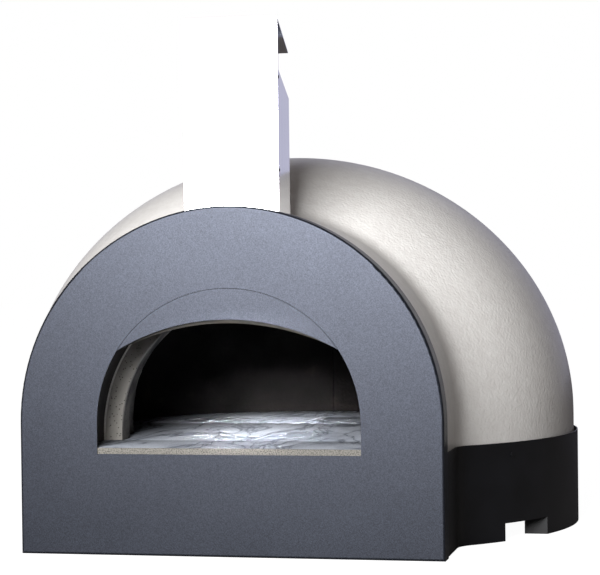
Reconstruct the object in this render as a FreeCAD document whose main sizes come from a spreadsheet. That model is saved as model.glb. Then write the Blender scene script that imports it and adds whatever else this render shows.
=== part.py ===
"""Wood fired pizza oven: a cast refractory dome and stone hearth in a steel casing, with a front flue.

Millimetres, +Z up. The front plate faces -Y and is centred on X = 0. The origin is on the ground,
under the middle of the oven's overall box.
"""
import FreeCAD, Part
import math
import os

import Sketcher
from FreeCAD import Placement, Rotation, Vector

doc = FreeCAD.newDocument("wood_fired_pizza_oven")
dims = doc.addObject("Spreadsheet::Sheet", "dims")

SIZES = [
    # casing
    ("plate_width", 700, "front plate, side to side; its arch is half of this"),
    ("arch_spring", 215, "ground to the centre of the plate's arch and of the mouth's arch"),
    ("plate_sheet", 2, "front plate, sheet thickness"),
    ("flange_depth", 42, "front plate, depth of the flange folded back round its edge"),
    ("plate_bend", 4, "front plate, outside radius of the folded edge"),
    ("dome_offset", 569, "front plate's face to the dome's axis"),
    ("skirt_radius", 515, "base skirt, outside radius"),
    ("skirt_height", 166, "base skirt, height"),
    ("skirt_sheet", 2, "base skirt, sheet thickness"),
    ("skirt_seam", 1, "gap between the base skirt's two halves at the rear"),
    ("cover_radius", 508, "dome cover, outside radius at its widest"),
    ("cover_wall", 3, "dome cover, wall"),
    ("cover_rim", 128, "ground to the dome cover's lower edge, inside the skirt"),
    ("cover_equator", 197, "ground to where the dome cover starts to curve in"),
    ("cover_crown", 671, "ground to the top of the dome cover"),
    ("cover_fillet", 60, "dome cover, blend between the dome and its neck"),
    ("crown_flat", 8, "radius of the small flat on top of each dome"),
    ("casing_gap", 0.5, "clearance between casing sheets that slide into each other"),
    # mouth and smoke hood
    ("mouth_radius", 218, "front plate, mouth arch"),
    ("sill_height", 165, "ground to the front plate's sill"),
    ("visor_gap", 0.8, "gap round the visor, where it sits in the mouth arch"),
    ("visor_edge_radius", 364.5, "visor, radius of its lower edge"),
    ("visor_edge_centre", 18, "ground to the centre of the visor's lower edge"),
    ("strip_edge_radius", 407, "backing strip, radius of its lower edge"),
    ("strip_edge_rise", 376.5, "ground to the middle of the backing strip's lower edge"),
    ("strip_lap", 8, "backing strip, overlap behind the front plate"),
    ("strip_gap", 4, "spacers between the visor and its backing strip"),
    ("spacer_radius", 7, "visor spacers"),
    ("hood_radius", 255, "smoke hood, inside radius"),
    ("hood_sheet", 2, "smoke hood, sheet thickness"),
    ("hood_flange", 22, "smoke hood, width of its front flange"),
    ("rope_size", 6, "ceramic rope seals, section"),
    # flue
    ("flue_width", 158, "flue, side to side"),
    ("flue_depth", 88, "flue, front to back"),
    ("flue_sheet", 1.5, "flue, sheet thickness"),
    ("flue_setback", 50, "front plate's face to the flue's front"),
    ("flue_foot", 456, "ground to the flue's lower end"),
    ("flue_front_top", 790, "ground to the top of the flue's sides at the front"),
    ("flue_back_top", 745, "ground to the top of the flue's back"),
    ("cap_front_top", 872, "ground to the fold at the top of the flue's front"),
    ("cap_back_top", 822, "ground to the cap roof's rear edge"),
    ("cap_depth", 86, "cap roof, front to back"),
    ("flue_return", 15, "flue front, width of its side returns"),
    ("flue_slip", 2, "clearance between the flue and what it passes through or over"),
    ("collar_top", 500, "ground to the top of the flue collar"),
    ("collar_seat", 17, "flue collar, width of the seat flange"),
    ("gasket_height", 6, "flue gasket, thickness"),
    ("rivet_radius", 3.2, "flue rivets, head radius"),
    # refractory
    ("floor_height", 175, "ground to the hearth's surface"),
    ("slab_thickness", 40, "hearth slabs"),
    ("slab_joint", 1, "open joint between slabs, and round them"),
    ("board_thickness", 50, "insulation boards under the hearth"),
    ("board_margin", 10, "insulation boards, how far they reach past the refractory"),
    ("oven_radius", 350, "dome segments, inside radius at the hearth"),
    ("oven_wall", 50, "dome segments, wall"),
    ("oven_equator", 225, "ground to where the dome segments start to curve in"),
    ("oven_crown", 540, "ground to the inside top of the dome segments"),
    ("segment_joint", 2, "joint between two dome segments"),
    ("vault_setback", 165, "front plate's face to the mouth vault"),
    ("vault_leg", 15, "mouth vault and smoke hood, straight leg above the hearth"),
    ("vault_radius", 224, "mouth vault, inside radius at its lip"),
    ("vault_lip", 47, "mouth vault, depth of the lip"),
    ("vault_relief", 25, "mouth vault, step behind the lip"),
    ("vault_wall", 50, "mouth vault, wall at the lip"),
    ("vault_fit", 0.5, "mortar line between the mouth vault and the dome"),
    ("blanket_gap", 2, "clearance round the ceramic blankets"),
    # base
    ("pan_sheet", 3, "base pan, plate thickness"),
    ("pan_fit", 1, "clearance between the base pan and the skirt"),
    ("rail_width", 50, "base rails, width"),
    ("rail_depth", 42, "base rails, height"),
    ("rail_wall", 2.5, "base rails, wall"),
    ("rail_spread", 400, "between the centres of the two base rails"),
    ("rail_reach", 50, "gap between a rail's end and the casing"),
    ("foot_side", 40, "base feet, side of the square tube"),
    ("fork_spread", 498, "between the centres of the two fork channels"),
    ("fork_width", 109, "fork notches in the skirt, width"),
    ("fork_height", 30, "fork notches in the skirt, height"),
    ("fork_tab", 38, "fork notches, length of the folded tabs"),
    ("bracket_angle", 6, "skirt brackets, degrees of arc"),
    ("bracket_leg", 32, "skirt brackets, length of each leg"),
    ("bracket_sheet", 3, "skirt brackets, thickness"),
    ("bolt_radius", 4, "pan bolts, shank radius"),
    ("bolt_fit", 0.3, "clearance of a screw in its hole"),
    ("screw_radius", 2.5, "skirt screws, shank radius"),
    ("screw_head", 4.5, "skirt screws, head radius"),
    ("screw_height", 145, "ground to the skirt screws"),
]

for row, (alias, value, note) in enumerate(SIZES, start=1):
    dims.set(f"A{row}", note)
    dims.set(f"B{row}", str(value))
    dims.setAlias(f"B{row}", alias)
doc.recompute()

# Places that follow from the sizes, as expressions.
FRONT = "(-(dims.dome_offset + dims.skirt_radius) / 2)"
AXIS = "((dims.dome_offset - dims.skirt_radius) / 2)"
PLATE_RADIUS = "(dims.plate_width / 2)"
FLANGE_INSIDE = f"({PLATE_RADIUS} - dims.plate_sheet)"
SKIRT_NECK = f"({FLANGE_INSIDE} - dims.casing_gap)"
COVER_NECK = f"({SKIRT_NECK} - dims.skirt_sheet - dims.casing_gap)"
CASING_FRONT = f"({FRONT} + dims.flange_depth / 4)"
SKIRT_BEND = "(dims.cover_fillet - 2 * dims.casing_gap - 2 * dims.skirt_sheet)"
PLATE_BACK = f"({FRONT} + dims.plate_sheet)"
BOARD_TOP = "(dims.floor_height - dims.slab_thickness)"
PAN_TOP = f"({BOARD_TOP} - dims.board_thickness)"
PAN_UNDER = f"({PAN_TOP} - dims.pan_sheet)"
STRIP_Y = f"({PLATE_BACK} + dims.strip_gap)"
VAULT_Y = f"({FRONT} + dims.vault_setback)"
MOUTH_SPRING = "(dims.floor_height + dims.vault_leg)"
VAULT_OUTSIDE = "(dims.vault_radius + dims.vault_wall)"
HOOD_OUTSIDE = "(dims.hood_radius + dims.hood_sheet)"
HOOD_END = f"({VAULT_Y} - dims.rope_size)"
FLUE_Y = f"({FRONT} + dims.flue_setback)"
FLUE_BORE_HALF = "(dims.flue_width / 2 - dims.flue_sheet - dims.flue_slip)"
FLUE_BORE_DEPTH = "(dims.flue_depth - 2 * dims.flue_sheet - 2 * dims.flue_slip)"
COLLAR_Y = f"({FLUE_Y} + dims.flue_sheet + dims.flue_slip)"
SEAT_TOP = "(dims.flue_foot - dims.gasket_height)"
OVEN_OUTSIDE = "(dims.oven_radius + dims.oven_wall)"
BLANKET_INSET = "(dims.cover_wall + dims.blanket_gap)"

UPRIGHT_ALONG_Y = Rotation(Vector(1, 0, 0), -90)
HALF_ROUND_ALONG_Y = Rotation(Vector(1, 0, 0), 90)
TOP = 2000


def bind(item, **expressions):
    """Tie properties of `item` to expressions; x, y and z stand for its place."""
    for name, expression in expressions.items():
        path = f"Placement.Base.{name}" if name in ("x", "y", "z") else name
        item.setExpression(path, str(expression))
    return item


def box(name, half_width, y, z, depth, height, x=0):
    """Box centred on `x`, from `y` back and from `z` up."""
    item = doc.addObject("Part::Box", name)
    return bind(item, Length=f"2 * ({half_width})", Width=depth, Height=height,
                x=f"({x}) - ({half_width})", y=y, z=z)


def cylinder_along_y(name, radius, y, z, depth, x=0):
    item = doc.addObject("Part::Cylinder", name)
    item.Placement = Placement(Vector(), UPRIGHT_ALONG_Y)
    return bind(item, Radius=radius, Height=depth, x=x, y=y, z=z)


def cylinder(name, radius, z, height, x=0, y=0):
    item = doc.addObject("Part::Cylinder", name)
    return bind(item, Radius=radius, Height=height, x=x, y=y, z=z)


def fuse(name, *items):
    item = doc.addObject("Part::MultiFuse", name)
    item.Shapes = list(items)
    item.Refine = True
    return item


def common(name, *items):
    item = doc.addObject("Part::MultiCommon", name)
    item.Shapes = list(items)
    return item


def cut(name, base, *tools):
    """`base` less every tool, one after another."""
    for left, tool in zip(range(len(tools) - 1, -1, -1), tools):
        item = doc.addObject("Part::Cut", f"{name}_less_{left}" if left else name)
        item.Base, item.Tool = base, tool
        item.Refine = True
        base = item
    return base


def group(name, items):
    """Separate solids that share one node."""
    item = doc.addObject("Part::Compound", name)
    item.Links = list(items)
    return item


def arch(name, radius, spring, base, y, depth):
    """Solid arch along Y: a half round about height `spring`, on legs down to `base`."""
    crown = doc.addObject("Part::Cylinder", name + "_crown")
    crown.Angle = 180
    crown.Placement = Placement(Vector(), HALF_ROUND_ALONG_Y)
    bind(crown, Radius=radius, Height=depth, y=f"({y}) + ({depth})", z=spring)
    legs = box(name + "_legs", radius, y, base, depth, f"({spring}) - ({base})")
    return fuse(name, crown, legs)


def new_body(name):
    body = doc.addObject("PartDesign::Body", name)
    body.Label = name
    return body


def new_sketch(body, plane, name):
    """Sketch on one of the body's own origin planes."""
    sketch = body.newObject("Sketcher::SketchObject", name)
    support = [f for f in body.Origin.OriginFeatures if f.Role == plane][0]
    sketch.AttachmentSupport = (support, [""])
    sketch.MapMode = "FlatFace"
    return sketch


def feature(body, kind, sketch, **expressions):
    item = body.newObject(f"PartDesign::{kind}", f"{sketch.Name}_{kind.lower()}")
    item.Profile = sketch
    sketch.Visibility = False
    return bind(item, **expressions)


def constrain(sketch, kind, references, expression):
    """A dimension in a sketch, tied to an expression."""
    sketch.addConstraint(Sketcher.Constraint(kind, *references, evaluate(expression)))
    sketch.setExpression(f"Constraints[{len(sketch.Constraints) - 1}]", expression)


def evaluate(expression):
    return float(dims.evalExpression(expression.replace("dims.", "")))


def arch_sketch(sketch, radius, spring, base=None):
    """Closed outline of an arch on legs. Without `base` the legs stand on the sketch's X axis."""
    r, top = evaluate(radius), evaluate(spring)
    foot = evaluate(base) if base else 0
    left, right = Vector(-r, foot, 0), Vector(r, foot, 0)
    right_top, left_top = Vector(r, top, 0), Vector(-r, top, 0)
    crown = Part.ArcOfCircle(Part.Circle(Vector(0, top, 0), Vector(0, 0, 1), r), 0, math.pi)
    for shape in (Part.LineSegment(left, right), Part.LineSegment(right, right_top), crown,
                  Part.LineSegment(left_top, left)):
        sketch.addGeometry(shape)
    relations = [("Coincident", 0, 2, 1, 1), ("Coincident", 3, 2, 0, 1), ("Horizontal", 0),
                 ("Vertical", 1), ("Vertical", 3), ("Tangent", 1, 2, 2, 1), ("Tangent", 2, 2, 3, 1),
                 ("PointOnObject", 2, 3, -2)]
    if not base:
        relations.append(("PointOnObject", 0, 1, -1))
    sketch.addConstraint([Sketcher.Constraint(*relation) for relation in relations])
    constrain(sketch, "Radius", (2,), radius)
    constrain(sketch, "DistanceY", (-1, 1, 2, 3), spring)
    if base:
        constrain(sketch, "DistanceY", (-1, 1, 0, 1), base)


def crescent_sketch(sketch, upper_radius, upper_centre, lower_radius, lower_centre):
    """Outline between two arcs that cross, both centred on the sketch's Y axis."""
    upper, lower = evaluate(upper_radius), evaluate(lower_radius)
    high, low = evaluate(upper_centre), evaluate(lower_centre)
    cross = (upper ** 2 - lower ** 2 - high ** 2 + low ** 2) / (2 * (low - high))
    half = math.sqrt(upper ** 2 - (cross - high) ** 2)
    for radius, centre in ((upper, high), (lower, low)):
        angle = math.atan2(cross - centre, half)
        circle = Part.Circle(Vector(0, centre, 0), Vector(0, 0, 1), radius)
        sketch.addGeometry(Part.ArcOfCircle(circle, angle, math.pi - angle))
    relations = [("Coincident", 0, 1, 1, 1), ("Coincident", 0, 2, 1, 2),
                 ("PointOnObject", 0, 3, -2), ("PointOnObject", 1, 3, -2)]
    sketch.addConstraint([Sketcher.Constraint(*relation) for relation in relations])
    constrain(sketch, "Radius", (0,), upper_radius)
    constrain(sketch, "Radius", (1,), lower_radius)
    constrain(sketch, "DistanceY", (-1, 1, 0, 3), upper_centre)
    constrain(sketch, "DistanceY", (-1, 1, 1, 3), lower_centre)


def polygon_sketch(sketch, points):
    """Closed outline of straight lines through `points`, each corner held from the sketch's origin."""
    corners = [Vector(evaluate(x), evaluate(y), 0) for x, y in points]
    for start, end in zip(corners, corners[1:] + corners[:1]):
        sketch.addGeometry(Part.LineSegment(start, end))
    count = len(points)
    for number in range(count):
        sketch.addConstraint(Sketcher.Constraint("Coincident", number, 2, (number + 1) % count, 1))
    for number, (x, y) in enumerate(points):
        if x == "0":
            sketch.addConstraint(Sketcher.Constraint("PointOnObject", number, 1, -2))
        else:
            constrain(sketch, "DistanceX", (-1, 1, number, 1), x)
        constrain(sketch, "DistanceY", (-1, 1, number, 1), y)


def dome_sketch(sketch, radius, base, equator, crown):
    """Half section of a domed solid: an upright band, then an ellipse up to a small flat on top."""
    r, low, mid, top = (evaluate(e) for e in (radius, base, equator, crown))
    flat = evaluate("dims.crown_flat")
    centre, side, peak = Vector(0, mid, 0), Vector(r, mid, 0), Vector(0, top, 0)
    wide = r >= top - mid
    ellipse = Part.Ellipse(side if wide else peak, peak if wide else Vector(-r, mid, 0), centre)
    edge = Vector(flat, mid + (top - mid) * math.sqrt(1 - (flat / r) ** 2), 0)
    first, last = ellipse.parameter(side), ellipse.parameter(edge)
    last = last if last > first else last + 2 * math.pi
    for shape in (Part.LineSegment(Vector(0, low, 0), Vector(r, low, 0)),
                  Part.LineSegment(Vector(r, low, 0), side),
                  Part.ArcOfEllipse(ellipse, first, last),
                  Part.LineSegment(edge, Vector(0, edge.y, 0)),
                  Part.LineSegment(Vector(0, edge.y, 0), Vector(0, low, 0))):
        sketch.addGeometry(shape)
    sketch.exposeInternalGeometry(2)
    upright = 6 if wide else 5
    crown_end = 1 if sketch.Geometry[upright].StartPoint.y > mid else 2
    relations = [("Coincident", 0, 2, 1, 1), ("Coincident", 1, 2, 2, 1), ("Coincident", 2, 2, 3, 1),
                 ("Coincident", 3, 2, 4, 1), ("Coincident", 4, 2, 0, 1), ("Horizontal", 0),
                 ("Vertical", 1), ("Horizontal", 3), ("PointOnObject", 0, 1, -2),
                 ("PointOnObject", 3, 2, -2), ("PointOnObject", 2, 3, -2),
                 ("Horizontal" if wide else "Vertical", 5)]
    sketch.addConstraint([Sketcher.Constraint(*relation) for relation in relations])
    constrain(sketch, "DistanceX", (0, 1, 0, 2), radius)
    constrain(sketch, "DistanceX", (3, 2, 3, 1), "dims.crown_flat")
    constrain(sketch, "DistanceY", (-1, 1, 0, 1), base)
    constrain(sketch, "DistanceY", (-1, 1, 1, 2), equator)
    constrain(sketch, "DistanceY", (-1, 1, 2, 3), equator)
    constrain(sketch, "DistanceY", (-1, 1, upright, crown_end), crown)


def dome(name, radius, base, equator, crown):
    """Solid of revolution about the dome's axis."""
    body = new_body(name)
    sketch = new_sketch(body, "XZ_Plane", name + "_section")
    dome_sketch(sketch, radius, base, equator, crown)
    turn = feature(body, "Revolution", sketch)
    turn.ReferenceAxis = (sketch, ["V_Axis"])
    turn.Angle = 360
    bind(body, y=AXIS)
    return body


def dome_with_neck(name, inset, base, front, fillet=None):
    """The casing's outer form, `inset` inwards: the dome joined to its arched neck."""
    body = dome(name, f"dims.cover_radius - {inset}", base, "dims.cover_equator",
                f"dims.cover_crown - {inset}")
    neck = new_sketch(body, "XZ_Plane", name + "_neck")
    arch_sketch(neck, f"{COVER_NECK} - {inset}", "dims.arch_spring", base)
    length = f"{AXIS} - ({front})"
    feature(body, "Pad", neck, Length=length)
    doc.recompute()
    if fillet:
        joined = body.Tip
        names = neck_edges(joined.Shape, inset, evaluate(length))
        blend = body.newObject("PartDesign::Fillet", name + "_blend")
        blend.Base = (joined, names)
        bind(blend, Radius=fillet)
    return body


def neck_edges(shape, inset, length):
    """Names of the edges where the neck meets the dome."""
    radius = evaluate(f"{COVER_NECK} - {inset}")
    spring = evaluate("dims.arch_spring")
    names = []
    for number, edge in enumerate(shape.Edges, start=1):
        points = [edge.valueAt(edge.FirstParameter + share * (edge.LastParameter - edge.FirstParameter))
                  for share in (0.2, 0.5, 0.8)]
        on_neck = all(abs(math.hypot(p.x, max(p.z - spring, 0)) - radius) < 0.05 for p in points)
        straight = edge.Vertexes[0].Point.y != edge.Vertexes[-1].Point.y and len(
            {round(p.x, 3) for p in points}) == 1 and len({round(p.z, 3) for p in points}) == 1
        on_front = all(abs(p.y + length) < 0.05 for p in points)
        if on_neck and not straight and not on_front:
            names.append(f"Edge{number}")
    return names


def keyhole(name, radius, half_neck, front, z, height, bend=None):
    """A round block about the dome's axis joined to a straight neck that runs to `front`."""
    body = new_body(name)
    sketch = new_sketch(body, "XY_Plane", name + "_outline")
    r, half = evaluate(radius), evaluate(half_neck)
    reach = f"{AXIS} - ({front})"
    near, far = -math.sqrt(r ** 2 - half ** 2), -evaluate(reach)
    start = math.atan2(near, half)
    circle = Part.Circle(Vector(0, 0, 0), Vector(0, 0, 1), r)
    corners = [Vector(-half, near, 0), Vector(-half, far, 0), Vector(half, far, 0), Vector(half, near, 0)]
    sketch.addGeometry(Part.ArcOfCircle(circle, start, math.pi - start))
    for first, second in zip(corners, corners[1:]):
        sketch.addGeometry(Part.LineSegment(first, second))
    relations = [("Coincident", 0, 2, 1, 1), ("Coincident", 1, 2, 2, 1), ("Coincident", 2, 2, 3, 1),
                 ("Coincident", 3, 2, 0, 1), ("Coincident", 0, 3, -1, 1), ("Vertical", 1),
                 ("Vertical", 3), ("Symmetric", 1, 2, 2, 2, -2)]
    sketch.addConstraint([Sketcher.Constraint(*relation) for relation in relations])
    constrain(sketch, "Radius", (0,), radius)
    constrain(sketch, "DistanceX", (-1, 1, 2, 2), half_neck)
    constrain(sketch, "DistanceY", (2, 2, -1, 1), reach)
    feature(body, "Pad", sketch, Length=height)
    if bend:
        doc.recompute()
        corner_names = [f"Edge{n}" for n, e in enumerate(body.Tip.Shape.Edges, start=1)
                        if all(abs(abs(v.X) - half) + abs(v.Y - near) < 0.01 for v in e.Vertexes)
                        and abs(e.Vertexes[0].Z - e.Vertexes[-1].Z) > 0.01]
        block = body.Tip
        fold = body.newObject("PartDesign::Fillet", name + "_bend")
        fold.Base = (block, corner_names)
        bind(fold, Radius=bend)
    return bind(body, y=AXIS, z=z)


# ---- casing -------------------------------------------------------------------------------------

def make_front_plate():
    """Arched sheet with its edge folded back all round, and the mouth cut through it."""
    body = new_body("front_plate")
    outline = new_sketch(body, "XZ_Plane", "plate_outline")
    arch_sketch(outline, PLATE_RADIUS, "dims.arch_spring")
    block = feature(body, "Pad", outline, Length="dims.flange_depth")
    block.Reversed = True
    doc.recompute()
    front = [f for f in block.Shape.Faces if abs(f.BoundBox.YMax) < 0.01][0]
    names = [f"Edge{n}" for n, e in enumerate(block.Shape.Edges, start=1)
             if any(e.isSame(other) for other in front.Edges)]
    bend = body.newObject("PartDesign::Fillet", "plate_fold")
    bend.Base = (block, names)
    bind(bend, Radius="dims.plate_bend")
    doc.recompute()
    back = [n for n, f in enumerate(bend.Shape.Faces, start=1)
            if abs(f.BoundBox.YMin - evaluate("dims.flange_depth")) < 0.01][0]
    shell = body.newObject("PartDesign::Thickness", "plate_shell")
    shell.Base = (bend, [f"Face{back}"])
    shell.Reversed = True
    bind(shell, Value="dims.plate_sheet")
    doc.recompute()
    mouth = new_sketch(body, "XZ_Plane", "mouth_outline")
    arch_sketch(mouth, "dims.mouth_radius", "dims.arch_spring", "dims.sill_height")
    feature(body, "Pocket", mouth, Length="dims.plate_sheet * 2")
    body.Tip.Reversed = False
    bind(body, y=FRONT)
    return body


def make_visor():
    """Crescent that fills the top of the mouth, level with the plate."""
    body = new_body("visor")
    outline = new_sketch(body, "XZ_Plane", "visor_outline")
    crescent_sketch(outline, "dims.mouth_radius - dims.visor_gap", "dims.arch_spring",
                    "dims.visor_edge_radius", "dims.visor_edge_centre")
    feature(body, "Pad", outline, Length="dims.plate_sheet").Reversed = True
    bind(body, y=FRONT)
    return body


def make_backing_strip():
    """Crescent behind the visor and the plate, which carries the visor."""
    body = new_body("visor_backing_strip")
    outline = new_sketch(body, "XZ_Plane", "strip_outline")
    crescent_sketch(outline, "dims.mouth_radius + dims.strip_lap", "dims.arch_spring",
                    "dims.strip_edge_radius", "(dims.strip_edge_rise - dims.strip_edge_radius)")
    feature(body, "Pad", outline, Length="dims.plate_sheet").Reversed = True
    bind(body, y=STRIP_Y)
    return body


def make_visor_spacers():
    """Welded spacers: one row behind the visor and one behind the plate."""
    spacers = []
    rows = (("visor", "(dims.mouth_radius - 3 * dims.spacer_radius)", (-30, -15, 0, 15, 30)),
            ("plate", "(dims.mouth_radius + dims.strip_lap / 2)", (-36, -18, 0, 18, 36)))
    for row_name, radius, angles in rows:
        size = "dims.spacer_radius" if row_name == "visor" else "(dims.strip_lap / 2 - 1)"
        for number, angle in enumerate(angles, start=1):
            sine, cosine = math.sin(math.radians(angle)), math.cos(math.radians(angle))
            spacers.append(cylinder_along_y(
                f"{row_name}_spacer_{number}", size, PLATE_BACK,
                f"dims.arch_spring + {radius} * {cosine:.6f}", "dims.strip_gap",
                x=f"{radius} * {sine:.6f}"))
    return group("visor_spacers", spacers)


def make_dome_cover():
    """Painted cover: dome and neck in one piece, open below and in front, with a hole for the flue."""
    outside = dome_with_neck("cover_outside", "0", "dims.cover_rim", CASING_FRONT, "dims.cover_fillet")
    inside = dome_with_neck("cover_inside", "dims.cover_wall", "dims.cover_rim - 1",
                            f"{CASING_FRONT} - 1", "dims.cover_fillet + dims.cover_wall")
    flue = box("cover_flue_hole", "dims.flue_width / 2 + dims.flue_slip",
               f"{FLUE_Y} - dims.flue_slip", "dims.flue_foot", "dims.flue_depth + 2 * dims.flue_slip",
               TOP)
    holes = radial_cylinders("cover_screw_hole", "dims.screw_radius + dims.bolt_fit",
                             "dims.cover_radius - 30", 60)
    return cut("dome_cover", outside, inside, flue, *holes)


def make_neck_seal():
    """Fibre cord in the gap between the plate's flange and the cover's neck."""
    y, depth = f"{CASING_FRONT} + dims.rope_size", "2 * dims.rope_size"
    outside = arch("neck_seal_outside", f"{FLANGE_INSIDE} - 0.2", "dims.arch_spring",
                   "dims.skirt_height + 2", y, depth)
    inside = arch("neck_seal_inside", f"{COVER_NECK} + 0.2", "dims.arch_spring",
                  "dims.skirt_height + 1", f"{y} - 1", f"{depth} + 2")
    return cut("neck_seal", outside, inside)


def screw_angles():
    """Degrees about the dome's axis; 0 is +X and 90 is the rear."""
    first, last, count = -34, 214, 6
    return [first + (last - first) * n / (count - 1) for n in range(count)]


def radial_cylinders(name, radius, start, length):
    """One cylinder for each skirt screw, pointing away from the dome's axis."""
    items = []
    for number, angle in enumerate(screw_angles(), start=1):
        item = doc.addObject("Part::Cylinder", f"{name}_{number}")
        turn = Rotation(Vector(0, 0, 1), angle).multiply(Rotation(Vector(0, 1, 0), 90))
        item.Placement = Placement(Vector(), turn)
        cosine, sine = math.cos(math.radians(angle)), math.sin(math.radians(angle))
        items.append(bind(item, Radius=radius, Height=length, x=f"({start}) * {cosine:.6f}",
                          y=f"{AXIS} + ({start}) * {sine:.6f}", z="dims.screw_height"))
    return items


def make_skirt_screws():
    """Button screws that hold the cover's rim to the skirt."""
    shanks = radial_cylinders("skirt_screw_shank", "dims.screw_radius",
                              "dims.cover_radius - dims.cover_wall - 1",
                              "dims.skirt_radius - dims.cover_radius + dims.cover_wall + 1")
    heads = radial_cylinders("skirt_screw_head", "dims.screw_head", "dims.skirt_radius",
                             "dims.screw_head * 0.45")
    return group("skirt_screws", [fuse(f"skirt_screw_{n}", *pair)
                                  for n, pair in enumerate(zip(shanks, heads), start=1)])


def make_base_skirt():
    """Two steel half bands that meet at the rear, with fork notches and folded tabs beside them."""
    front = CASING_FRONT
    outside = keyhole("skirt_outside", "dims.skirt_radius", SKIRT_NECK, front, 0, "dims.skirt_height",
                      SKIRT_BEND)
    inside = keyhole("skirt_inside", "dims.skirt_radius - dims.skirt_sheet",
                     f"{SKIRT_NECK} - dims.skirt_sheet", f"{front} - 1", -1, "dims.skirt_height + 2",
                     f"{SKIRT_BEND} + dims.skirt_sheet")
    plate_edge = box("skirt_front_relief", PLATE_RADIUS, FRONT, -1, "dims.flange_depth + dims.casing_gap",
                     "dims.plate_sheet + dims.casing_gap + 1")
    channels = [box(f"fork_channel_{n}", "dims.skirt_radius + 1",
                    f"{AXIS} + {side} * dims.fork_spread / 2 - dims.fork_width / 2", -1,
                    "dims.fork_width", "dims.fork_height + 1")
                for n, side in enumerate((-1, 1), start=1)]
    holes = radial_cylinders("skirt_screw_hole", "dims.screw_radius + dims.bolt_fit",
                             "dims.skirt_radius - 10", 20)
    band = cut("skirt_band", outside, inside, plate_edge, *channels, *holes)
    tabs = []
    for number, (side, edge) in enumerate([(s, e) for s in (-1, 1) for e in (-1, 1)], start=1):
        near = f"(abs({side} * dims.fork_spread / 2 + {edge} * dims.fork_width / 2))"
        reach = f"(sqrt((dims.skirt_radius - dims.skirt_sheet) ^ 2 - {near} ^ 2))"
        y = f"{AXIS} + {side} * dims.fork_spread / 2 + {edge} * dims.fork_width / 2"
        y = f"{y} - dims.skirt_sheet" if edge < 0 else y
        for hand in (-1, 1):
            tabs.append(box(f"fork_tab_{number}_{'left' if hand < 0 else 'right'}",
                            "dims.fork_tab / 2", y, 0, "dims.skirt_sheet", "dims.fork_height",
                            x=f"{hand} * ({reach} - dims.fork_tab / 2 + dims.skirt_sheet / 2)"))
    whole = fuse("skirt_whole", band, *tabs)
    half = "(dims.skirt_radius / 2)"
    return [common(f"base_skirt_{hand}", whole,
                   box(f"skirt_{hand}_keep", half, f"{FRONT} - 1", -1,
                       "dims.dome_offset + dims.skirt_radius + 2", "dims.skirt_height + 2",
                       x=f"{side} * ({half} + dims.skirt_seam / 2)"))
            for hand, side in (("left", -1), ("right", 1))]


# ---- smoke hood and flue ------------------------------------------------------------------------

def make_smoke_hood():
    """Arched sheet from the plate to the refractory, with a flange in front and an outlet on top."""
    length = f"{HOOD_END} - {PLATE_BACK}"
    tunnel = arch("hood_outside", HOOD_OUTSIDE, MOUTH_SPRING, BOARD_TOP, PLATE_BACK, length)
    flange = arch("hood_flange_block", f"{HOOD_OUTSIDE} + dims.hood_flange", MOUTH_SPRING,
                  BOARD_TOP, PLATE_BACK, "dims.hood_sheet")
    inside = arch("hood_inside", "dims.hood_radius", MOUTH_SPRING, f"{BOARD_TOP} - 1",
                  f"{PLATE_BACK} - 1", f"{length} + 2")
    outlet = box("hood_outlet", f"{FLUE_BORE_HALF} - dims.flue_sheet",
                 f"{COLLAR_Y} + dims.flue_sheet", "dims.floor_height + dims.hood_radius / 2",
                 f"{FLUE_BORE_DEPTH} - 2 * dims.flue_sheet", "dims.hood_radius")
    return cut("smoke_hood", fuse("hood_block", tunnel, flange), inside, outlet)


def make_hood_studs():
    """Welded studs with nuts that hold the hood's flange to the plate."""
    ring = f"({HOOD_OUTSIDE} + dims.hood_flange / 2)"
    studs = []
    for number, angle in enumerate((-75, -50, -25, 0, 25, 50, 75), start=1):
        sine, cosine = math.sin(math.radians(angle)), math.cos(math.radians(angle))
        nut = doc.addObject("Part::Prism", f"hood_nut_{number}")
        nut.Polygon = 6
        nut.Placement = Placement(Vector(), UPRIGHT_ALONG_Y)
        studs.append(bind(nut, Circumradius=5.5, Height=5, x=f"{ring} * {sine:.6f}",
                          y=f"{PLATE_BACK} + dims.hood_sheet",
                          z=f"{MOUTH_SPRING} + {ring} * {cosine:.6f}"))
    return group("hood_nuts", studs)


def make_hood_rope():
    """Ceramic rope between the hood's rear edge and the mouth vault."""
    middle = "(dims.hood_radius + dims.hood_sheet / 2)"
    outside = arch("hood_rope_outside", f"{middle} + dims.rope_size / 2", MOUTH_SPRING,
                   BOARD_TOP, HOOD_END, "dims.rope_size")
    inside = arch("hood_rope_inside", f"{middle} - dims.rope_size / 2", MOUTH_SPRING,
                  f"{BOARD_TOP} - 1", f"{HOOD_END} - 1", "dims.rope_size + 2")
    return cut("hood_rope_seal", outside, inside)


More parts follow.
